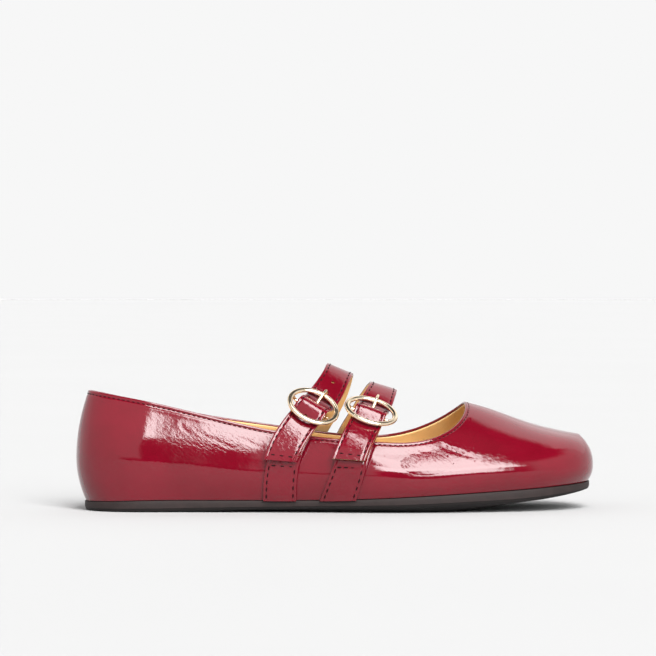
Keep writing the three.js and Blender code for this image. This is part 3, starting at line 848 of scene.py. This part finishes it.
def make_buckle(strap, material):
    tilt = math.atan2(FAR_RIM - NEAR_RIM, 2 * RIM_REACH)
    middle_height = (NEAR_RIM + FAR_RIM) / 2
    around, sides = 120, 24
    section = []
    for k in range(sides):
        a = 2 * math.pi * k / sides
        domed = 0.5 * math.sin(a) if math.sin(a) > 0 else 0.42 * math.sin(a)
        section.append((0.5 * RIM * np.sign(math.cos(a)) * abs(math.cos(a)) ** 0.85, RIM_DEPTH * domed))
    rings = []
    for i in range(around):
        a = 2 * math.pi * i / around
        direction = np.array([math.cos(a), math.sin(a), 0])
        centre = np.array([(BUCKLE_WIDTH - RIM) / 2 * direction[0], RIM_REACH * direction[1], 0])
        ring = np.array([centre + direction * r + np.array([0, 0, h]) for r, h in section])
        y, z = ring[:, 1].copy(), ring[:, 2].copy()
        ring[:, 1] = y * math.cos(tilt) - z * math.sin(tilt)
        ring[:, 2] = y * math.sin(tilt) + z * math.cos(tilt) + middle_height
        rings.append(ring)
    rings = np.array(rings + [rings[0]])
    rim_faces = grid_faces(around + 1, sides)
    reach = (BUCKLE_WIDTH - RIM) / 2
    drop = middle_height - 0.3
    bend = drop - 0.55 * (drop - BAR_OFFSET)
    half = [
        (reach, 0, drop), (reach - 1.0, 0, bend), (reach - 2.6, 0, BAR_OFFSET), (reach / 2, 0, BAR_OFFSET)]
    bow = catmull([(-x, y, z) for x, y, z in half] + [(0, 0, BAR_OFFSET)] + half[::-1], 61)
    bar = tube(bow, BAR_RADIUS, 16, normal=(0, 1, 0))
    vertices, faces = joined([(rings, rim_faces), lofted(bar)])
    node = (strap["name"] + "_buckle",)
    piece(strap["name"] + "_ring", in_buckle(strap, vertices), faces, material, "buckle", node, merge=0.001)


def prong_path(start, end, count):
    """The prong's middle line, from the eye to the tip; start and end shift its two ends, up and out."""
    rest = FAR_RIM + RIM_DEPTH / 2 + GAP + PRONG_RADIUS
    tip = RIM_REACH + PRONG_OVERHANG
    return catmull([
        (0, EYE_INNER + start[0], BAR_OFFSET + start[1]), (0, tip * 0.22, BAR_OFFSET + 0.75),
        (0, tip * 0.45, BAR_OFFSET + 0.62 * (rest - BAR_OFFSET)), (0, tip * 0.68, rest + 0.05),
        (0, RIM_REACH, rest + 0.12), (0, tip + end[0], rest + end[1]),
    ], count)


def make_prong(strap, material):
    path = prong_path((0.4, 0.1), (0, -0.12), 46)
    t = np.linspace(0, 1, len(path))
    radii = PRONG_RADIUS * (1.06 - 0.16 * t) * np.sqrt(np.clip((1.012 - t) / 0.05, 0.02, 1))
    pin = tube(path, radii, 18, squash=0.86)
    turns = np.linspace(0, 2 * math.pi, 49)
    eye_outer = EYE_OUTER - 0.3
    middle = (EYE_INNER + eye_outer) / 2
    thick = (eye_outer - EYE_INNER) / 2 + 0.05
    eye = []
    for a in turns:
        out_way = np.array([0, math.cos(a), math.sin(a)])
        centre = np.array([0, 0, BAR_OFFSET]) + middle * out_way
        eye.append([
            centre + thick * math.cos(b) * out_way + PRONG_RADIUS * math.sin(b) * np.array([1.0, 0, 0])
            for b in np.linspace(0, 2 * math.pi, 14, endpoint=False)])
    eye = np.array(eye)
    vertices, faces = joined([lofted(pin), (eye, grid_faces(len(turns), 14))])
    node = (strap["name"] + "_prong",)
    piece(strap["name"] + "_pin", in_buckle(strap, vertices), faces, material, "buckle", node, merge=0.001)


def prong_cutter(strap):
    """The hole through which the prong comes up, a little wider than the prong itself."""
    rings = tube(prong_path((-0.5, -0.3), (1, -0.2), 30), PRONG_RADIUS + GAP, 16)
    return lofted(in_buckle(strap, rings))


def hole_cutter(frames, offset, run):
    """A spare hole at a distance from the buckle's bar."""
    i = int(np.argmin(np.abs(frames["run"] - run)))
    out = frames["out"][i]
    centre = frames["point"][i] + out * offset[i]
    side = unit(frames["across"][i])
    ahead = np.cross(out, side)
    angles = np.linspace(0, 2 * math.pi, 20, endpoint=False)
    return lofted([
        centre + out * h + HOLE_RADIUS * (np.cos(angles)[:, None] * side + np.sin(angles)[:, None] * ahead)
        for h in (-2.2, 2.2)])


def stitch(point, direction, out, length, radius):
    """A single stitch: a thread that rises out of its hole and dips again."""
    direction, out = unit(direction), unit(out)
    side = np.cross(direction, out)
    steps, sides = 9, 7
    rings = []
    for i in range(steps):
        t = -1 + 2 * i / (steps - 1)
        r = radius * math.sqrt(max(1 - abs(t) ** 3.2, 0.0)) + 0.02
        h = radius * (0.35 - 0.9 * t * t)
        centre = point + direction * (t * length / 2) + out * h
        angles = np.linspace(0, 2 * math.pi, sides, endpoint=False)
        rings.append(centre + r * (np.cos(angles)[:, None] * side + np.sin(angles)[:, None] * out))
    return lofted(rings)


def stitched_row(points, outs, pitch, length=STITCH, radius=THREAD):
    """Stitches at even steps along a polyline."""
    points, outs = np.asarray(points), np.asarray(outs)
    run = np.concatenate([[0], np.cumsum(np.linalg.norm(np.diff(points, axis=0), axis=1))])
    count = max(int(run[-1] / pitch), 1)
    made = []

    def at(r, values):
        return np.array([np.interp(r, run, values[:, k]) for k in range(3)])

    for s in (np.arange(count) + 0.5) * run[-1] / count:
        ahead = at(s + 0.4, points) - at(s - 0.4, points)
        made.append(stitch(at(s, points), ahead, at(s, outs), length, radius))
    return made


def ribbon_lane(frames, offset, a, high, first, last):
    """Points and outward directions along a strip, at a distance across it."""
    keep = (frames["run"] >= first) & (frames["run"] <= last)
    across = np.broadcast_to(a, frames["run"].shape)[keep][:, None]
    out = frames["out"][keep]
    points = frames["point"][keep] + across * frames["across"][keep] + (offset[keep][:, None] + high) * out
    return points, out


def cross_row(frames, offset, i, way, reach, high):
    """Stitches across a strip at one of its frames, to either side by a reach along a way."""
    out = frames["out"][i]
    middle = frames["point"][i] + (offset[i] + high) * out
    row = np.array([middle + a * way for a in np.linspace(-reach, reach, 9)])
    return stitched_row(row, np.repeat(out[None], len(row), 0), CROSS_PITCH)


def make_strap(strap, patent, lining, thread):
    frames = walk(strap, strap["end"], 1 - FOOT_STOP, STRIP_STEP)
    turned_end(frames)
    from_end = frames["run"] - frames["run"][0]
    offset = strap_offset(frames["run"]) + END_LIFT * np.clip(1 - from_end / END_LIFT_RUN, 0, 1) ** 1.5
    widths = strap_width(frames["run"])
    low = -STRAP / 2
    seam = low + STRAP_BACKING
    name = strap["name"] + "_strap"
    rings = ribbon_rings(frames, offset, widths, seam, STRAP / 2 - 0.12, 0.14)
    top = ribbon(name + "_top", rings, patent, "patent", (name,))
    rings = ribbon_rings(frames, offset, widths - 0.15, low, seam - 0.02, 0.0, grooves=False)
    back = ribbon(name + "_back", rings, lining, "lining", (name,))
    cutters = [prong_cutter(strap)] + [hole_cutter(frames, offset, run) for run in strap["holes"]]
    for layer in (top, back):
        cut(layer, cutters)
    lane = widths / 2 - STITCH_INSET
    first, last = frames["run"][0] + 2.2, frames["run"][-1] - 0.5
    stitches = []
    for a in (-lane, lane):
        points, outs = ribbon_lane(frames, offset, a, STRAP / 2 - 0.18, first, last)
        stitches += stitched_row(points, outs, STITCH_PITCH)
    i = int(np.argmin(np.abs(frames["run"] - first)))
    stitches += cross_row(frames, offset, i, frames["across"][i], lane[i], STRAP / 2 - 0.08)
    piece(name + "_stitches", *joined(stitches), thread, "patent")


def make_chape(strap, patent, thread):
    """The tab, with its loop round the bar in two lengths that leave room for the prong."""
    frames = walk(strap, FOOT_STOP - 1, strap["buckle"], STRIP_STEP, CHAPE_SIDESTEP)
    total = frames["run"][0]
    share = smoothstep(1 - frames["run"] / total)
    frames["point"] = frames["point"] - frames["across"] * (CHAPE_SIDESTEP * share)[:, None]
    offset = np.full(len(share), CHAPE_OFFSET)
    widths = CHAPE_WIDTH + (CHAPE_NECK - CHAPE_WIDTH) * share
    bodies = [lofted(ribbon_rings(frames, offset, widths, -CHAPE / 2, CHAPE / 2 - 0.1, 0.1))]
    turns = np.linspace(0, 2 * math.pi, 49)
    slot, end, bevel = PRONG_RADIUS + GAP, CHAPE_NECK / 2, 0.15
    section = [
        (slot, EYE_INNER), (slot, EYE_OUTER - bevel), (slot + bevel, EYE_OUTER),
        (end - bevel, EYE_OUTER), (end, EYE_OUTER - bevel), (end, EYE_INNER),
    ]
    for side in (-1, 1):
        shell = []
        for a in turns:
            way = np.array([0, math.cos(a), math.sin(a)])
            shell.append([np.array([side * u, 0, BAR_OFFSET]) + r * way for u, r in section])
        bodies.append((in_buckle(strap, shell), grid_faces(len(turns), len(section))))
    name, node = strap["name"] + "_tab", (strap["name"] + "_chape",)
    piece(
        name, *joined(bodies), patent, "patent", node, sharp=STRIP_SHARP, merge=0.001, zone=TAB_CRINKLED)
    inset = widths / 2 - STITCH_INSET
    foot = frames["run"][0]
    box_top = foot + TAB_BOX
    stitches = []
    i = int(np.argmin(np.abs(frames["run"] - box_top)))
    level = frames["level"][i]
    rise = float(np.dot(level, unit(frames["point"][i + 1] - frames["point"][i])))
    for sign in (-1, 1):
        end = box_top + sign * inset[i] * rise
        points, outs = ribbon_lane(frames, offset, sign * inset, CHAPE / 2 - 0.16, foot + 0.4, end)
        stitches += stitched_row(points, outs, STITCH_PITCH)
    stitches += cross_row(frames, offset, i, level, inset[i], CHAPE / 2 - 0.08)
    piece(name + "_stitches", *joined(stitches), thread, "patent")


def make_topline_stitches(thread):
    """The row of stitches that holds the folded edge, just below it, round the whole opening."""
    columns, throat_index = upper_columns(400, 220, 2)
    count = throat_index + 1
    lanes = []
    for side in (-1, 1):
        edge, outs, edgeward = topline_edge(columns[:count], side)
        lanes.append((edge - edgeward * TOPLINE_SEAM - outs * 0.14, outs))
    points = np.concatenate([lanes[0][0], lanes[1][0][::-1]])
    outs = np.concatenate([lanes[0][1], lanes[1][1][::-1]])
    keep = np.concatenate([[True], np.linalg.norm(np.diff(points, axis=0), axis=1) > 1e-4])
    stitches = stitched_row(points[keep], outs[keep], 2.5, 1.75, 0.2)
    piece("topline_stitches", *joined(stitches), thread, "patent")


# Materials


def new_material(name, values):
    """A material whose shader has some fixed values, with the socket of its texture coordinates."""
    material = bpy.data.materials.new(name)
    material.use_nodes = True
    tree = material.node_tree
    shader = tree.nodes["Principled BSDF"]
    for key, value in values.items():
        shader.inputs[key].default_value = value
    coords = tree.nodes.new("ShaderNodeTexCoord")
    return material, tree, shader, coords.outputs["Object"]


def feed(tree, socket, source):
    """Sets a socket to a number, or links it to another."""
    if isinstance(source, (int, float)):
        socket.default_value = source
    else:
        tree.links.new(source, socket)


def texture(tree, coords, kind, scale, **settings):
    node = tree.nodes.new("ShaderNodeTex" + kind)
    node.inputs["Scale"].default_value = scale
    for key, value in settings.items():
        node.inputs[key].default_value = value
    tree.links.new(coords, node.inputs["Vector"])
    return node.outputs["Distance" if kind == "Voronoi" else "Fac"]


def zone_value(tree):
    node = tree.nodes.new("ShaderNodeAttribute")
    node.attribute_name = "zone"
    return node.outputs["Fac"]


def tint(tree, socket, source, stops):
    """Feeds a socket from another through a ramp of two stops, each a position and a colour or grey."""
    node = tree.nodes.new("ShaderNodeValToRGB")
    for element, (position, colour) in zip(node.color_ramp.elements, stops):
        element.position = position
        element.color = (*np.broadcast_to(colour, 3), 1)
    tree.links.new(source, node.inputs["Fac"])
    tree.links.new(node.outputs["Color"], socket)


def bumps(tree, shader, layers):
    """Bumps on the shader's normal, each from a texture, a strength and a distance in metres."""
    below = None
    for height, strength, distance in layers:
        node = tree.nodes.new("ShaderNodeBump")
        feed(tree, node.inputs["Height"], height)
        feed(tree, node.inputs["Strength"], strength)
        feed(tree, node.inputs["Distance"], distance)
        if below is not None:
            feed(tree, node.inputs["Normal"], below)
        below = node.outputs["Normal"]
    tree.links.new(below, shader.inputs["Normal"])
    return below


def patent_leather():
    material, tree, shader, coords = new_material("crinkled_patent", {
        "Roughness": 0.5, "Specular IOR Level": 0.02, "Coat Weight": 1.0, "Coat Roughness": 0.03,
        "Coat IOR": 1.52})
    tone = texture(tree, coords, "Noise", 45.0, Detail=4.0, Roughness=0.6)
    tint(tree, shader.inputs["Base Color"], tone, [
        (0.3, (0.116, 0.0004, 0.0063)), (0.7, (0.147, 0.0007, 0.009))])
    turned = tree.nodes.new("ShaderNodeMapping")
    turned.vector_type = "TEXTURE"
    turned.inputs["Rotation"].default_value = (0, math.radians(-55), 0)
    turned.inputs["Scale"].default_value = (1.0, 1.3, 2.6)
    tree.links.new(coords, turned.inputs["Vector"])
    pull = texture(tree, coords, "Noise", 120.0, Detail=2.0, Distortion=0.3)
    peel = texture(tree, coords, "Noise", 520.0, Detail=3.0, Distortion=0.5)
    wrinkle = texture(tree, turned.outputs["Vector"], "Noise", 900.0, Detail=3.0, Distortion=0.7)
    grain = texture(tree, coords, "Voronoi", 1900.0)
    normal = bumps(tree, shader, [
        (pull, 0.06, 0.0006), (peel, 0.04, 0.00025), (wrinkle, zone_value(tree), 0.00014),
        (grain, 0.04, 0.0001)])
    tree.links.new(normal, shader.inputs["Coat Normal"])
    return material


def lining_leather():
    material, tree, shader, coords = new_material("tan_lining", {"Roughness": 0.62, "Sheen Weight": 0.15})
    tone = texture(tree, coords, "Noise", 60.0, Detail=5.0, Roughness=0.6)
    tint(tree, shader.inputs["Base Color"], tone, [(0.3, (0.72, 0.47, 0.2)), (0.72, (0.81, 0.56, 0.265))])
    grain = texture(tree, coords, "Voronoi", 1300.0)
    pores = texture(tree, coords, "Noise", 2600.0, Detail=3.0)
    bumps(tree, shader, [(grain, 0.25, 0.0002), (pores, 0.12, 0.0001)])
    return material


def sole_rubber():
    material, tree, shader, coords = new_material("brown_rubber", {"Specular IOR Level": 0.3})
    tone = texture(tree, coords, "Noise", 220.0, Detail=6.0, Roughness=0.7)
    shaded = tree.nodes.new("ShaderNodeMix")
    shaded.data_type = "RGBA"
    shaded.blend_type = "MULTIPLY"
    shaded.inputs["Factor"].default_value = 1.0
    tint(tree, shaded.inputs[6], tone, [(0.3, (0.01, 0.0061, 0.0058)), (0.75, (0.021, 0.0137, 0.013))])
    # Painted light and shade: the zone attribute darkens the lower, turned-under band of the edge to 0.35 of
    # the rubber's colour and lightens the upper band by 1.25
    tint(tree, shaded.inputs[7], zone_value(tree), [(0.0, (0.35, 0.33, 0.33)), (1.0, (1.25, 1.2, 1.2))])
    tree.links.new(shaded.outputs[2], shader.inputs["Base Color"])
    tint(tree, shader.inputs["Roughness"], tone, [(0.3, 0.55), (0.7, 0.72)])
    grain = texture(tree, coords, "Noise", 1500.0, Detail=4.0, Roughness=0.7)
    bumps(tree, shader, [(grain, 0.35, 0.0002)])
    return material


def gold():
    material, tree, shader, coords = new_material("pale_gold", {"Metallic": 1.0})
    tone = texture(tree, coords, "Noise", 300.0, Detail=4.0)
    tint(tree, shader.inputs["Base Color"], tone, [(0.3, (0.87, 0.70, 0.50)), (0.7, (0.93, 0.78, 0.58))])
    tint(tree, shader.inputs["Roughness"], tone, [(0.3, 0.12), (0.7, 0.2)])
    scratch = texture(tree, coords, "Noise", 2200.0, Detail=3.0)
    bumps(tree, shader, [(scratch, 0.06, 0.00005)])
    return material


def dark_thread():
    material, tree, shader, coords = new_material(
        "dark_thread", {"Roughness": 0.6, "Specular IOR Level": 0.12})
    twist = texture(tree, coords, "Wave", 900.0, Distortion=1.0)
    tint(tree, shader.inputs["Base Color"], twist, [
        (0.2, (0.006, 0.0008, 0.0015)), (0.8, (0.02, 0.002, 0.004))])
    bumps(tree, shader, [(twist, 0.4, 0.0001)])
    return material


def floor_paint():
    material, tree, shader, coords = new_material(
        "studio_floor", {"Roughness": 0.85, "Specular IOR Level": 0.1})
    tone = texture(tree, coords, "Noise", 3.0, Detail=2.0)
    tint(tree, shader.inputs["Base Color"], tone, [(0.3, 0.479), (0.7, 0.485)])
    return material


# Camera, floor and lights

CAMERA_AZIMUTH = math.radians(-4)
CAMERA_ELEVATION = math.radians(3)
CAMERA_DISTANCE = 1.7
LOOK_HEIGHT = 25  # of the point at which the camera looks, in millimetres
SENSOR_WIDTH = 36
FLOOR_RADIUS = 14
PHOTO_SIZE = 656
PX_PER_MM = 2.0555  # at the shoe's middle
SHOE_MIDDLE_PX = (335.9, 457.0)  # where the photo shows the point at which the camera looks


def make_camera():
    data = bpy.data.cameras.new("camera")
    data.sensor_width = SENSOR_WIDTH
    data.lens = data.sensor_width * CAMERA_DISTANCE / MM / (PHOTO_SIZE / PX_PER_MM)
    data.shift_x = (PHOTO_SIZE / 2 - SHOE_MIDDLE_PX[0]) / PHOTO_SIZE
    data.shift_y = (SHOE_MIDDLE_PX[1] - PHOTO_SIZE / 2) / PHOTO_SIZE
    data.clip_start = 0.05
    data.clip_end = 60
    camera = add_object("camera", data)
    a, e = CAMERA_AZIMUTH, CAMERA_ELEVATION
    back = Vector((math.sin(a) * math.cos(e), -math.cos(a) * math.cos(e), math.sin(e)))
    camera.location = Vector((0, 0, LOOK_HEIGHT * MM)) + back * CAMERA_DISTANCE
    camera.rotation_euler = back.to_track_quat("Z", "Y").to_euler()
    bpy.context.scene.camera = camera


def make_floor():
    mesh = bpy.data.meshes.new("floor")
    bm = bmesh.new()
    bmesh.ops.create_circle(bm, cap_ends=True, segments=96, radius=FLOOR_RADIUS)
    bm.to_mesh(mesh)
    bm.free()
    floor = add_object("floor", mesh)
    mesh.materials.append(floor_paint())


# The studio as seen from the shoe, all in degrees: azimuth from the front to the right, and elevation
# Each patch has its azimuths, its elevations, how soft its rim is and how bright it is
PATCHES = [
    ((96, 264), (-90, 50), 7, 0.93),  # the white backdrop
    ((115, 200), (18, 60), 4, 1.25),  # a lit strip above it
    ((-104, -28), (-90, 50), 7, 0.88),  # a white wall at the heel
    ((-60, -9), (3, 58), 2, 0.88),  # its turned-in end
    ((-60, -6.6), (22, 58), 1.5, 0.88),  # which is wider above
    ((36, 104), (-90, 46), 7, 0.85),  # a white wall at the toe
    ((-6, 33), (29, 46), 1.5, 16.0),  # the soft box
    ((-2, 33), (43, 70), 2, 15.0),  # narrower above
    ((4, 27), (10, 34), 2, 14.0),  # its lower end, nearer to the toe
    ((8, 42), (66, 85), 3, 13.0),  # and its upper end
]
DARK = 0.012
OVERHEAD = 0.1
OVERHEAD_SPAN = (74, 200, 6)  # elevations, and how soft its rim is


def window(tree, value, low, high, soft):
    """1 between low and high, falling softly to 0 past them."""
    sides = []
    for edge, way in ((low, 1), (high, -1)):
        step = tree.nodes.new("ShaderNodeMapRange")
        step.interpolation_type = "SMOOTHSTEP"
        step.inputs["From Min"].default_value = edge - way * soft
        step.inputs["From Max"].default_value = edge + way * soft
        tree.links.new(value, step.inputs["Value"])
        sides.append(step.outputs["Result"])
    return math_node(tree, "MULTIPLY", *sides)


def math_node(tree, operation, *sources):
    node = tree.nodes.new("ShaderNodeMath")
    node.operation = operation
    for i, source in enumerate(sources):
        feed(tree, node.inputs[i], source)
    return node.outputs["Value"]


def make_light():
    """A pale studio in the world's shader: backdrop, walls, a soft box in front and darkness between."""
    world = bpy.data.worlds.new("studio")
    bpy.context.scene.world = world
    world.use_nodes = True
    tree = world.node_tree
    background = tree.nodes["Background"]
    coords = tree.nodes.new("ShaderNodeTexCoord")
    split = tree.nodes.new("ShaderNodeSeparateXYZ")
    tree.links.new(coords.outputs["Generated"], split.inputs["Vector"])
    ahead = math_node(tree, "MULTIPLY", split.outputs["Y"], -1.0)
    azimuth = math_node(tree, "DEGREES", math_node(tree, "ARCTAN2", split.outputs["X"], ahead))
    # A second azimuth, from -100 to 260 degrees, for a patch that spans the back
    turned = math_node(tree, "LESS_THAN", azimuth, -100.0)
    azimuth_round = math_node(tree, "ADD", azimuth, math_node(tree, "MULTIPLY", turned, 360.0))
    elevation = math_node(tree, "DEGREES", math_node(tree, "ARCSINE", split.outputs["Z"]))
    overhead = window(tree, elevation, *OVERHEAD_SPAN)
    total = math_node(tree, "ADD", math_node(tree, "MULTIPLY", overhead, OVERHEAD), DARK)
    for azimuths, elevations, soft, bright in PATCHES:
        source = azimuth_round if azimuths[1] > 180 else azimuth
        across = window(tree, source, *azimuths, soft)
        up = window(tree, elevation, *elevations, soft)
        patch = math_node(tree, "MULTIPLY", math_node(tree, "MULTIPLY", across, up), bright)
        total = math_node(tree, "MAXIMUM", total, patch)
    tree.links.new(total, background.inputs["Color"])
    background.inputs["Strength"].default_value = 1.0
    view = bpy.context.scene.view_settings
    view.view_transform = "Standard"
    view.look = "None"


def main():
    place()
    make_camera()
    make_floor()
    make_light()
    patent = patent_leather()
    lining = lining_leather()
    rubber = sole_rubber()
    metal = gold()
    thread = dark_thread()
    make_upper(patent, lining)
    make_topline_stitches(thread)
    make_outsole(rubber)
    make_insole(lining)
    for strap in STRAPS:
        make_chape(strap, patent, thread)
        make_strap(strap, patent, lining, thread)
        make_buckle(strap, metal)
        make_prong(strap, metal)


main()
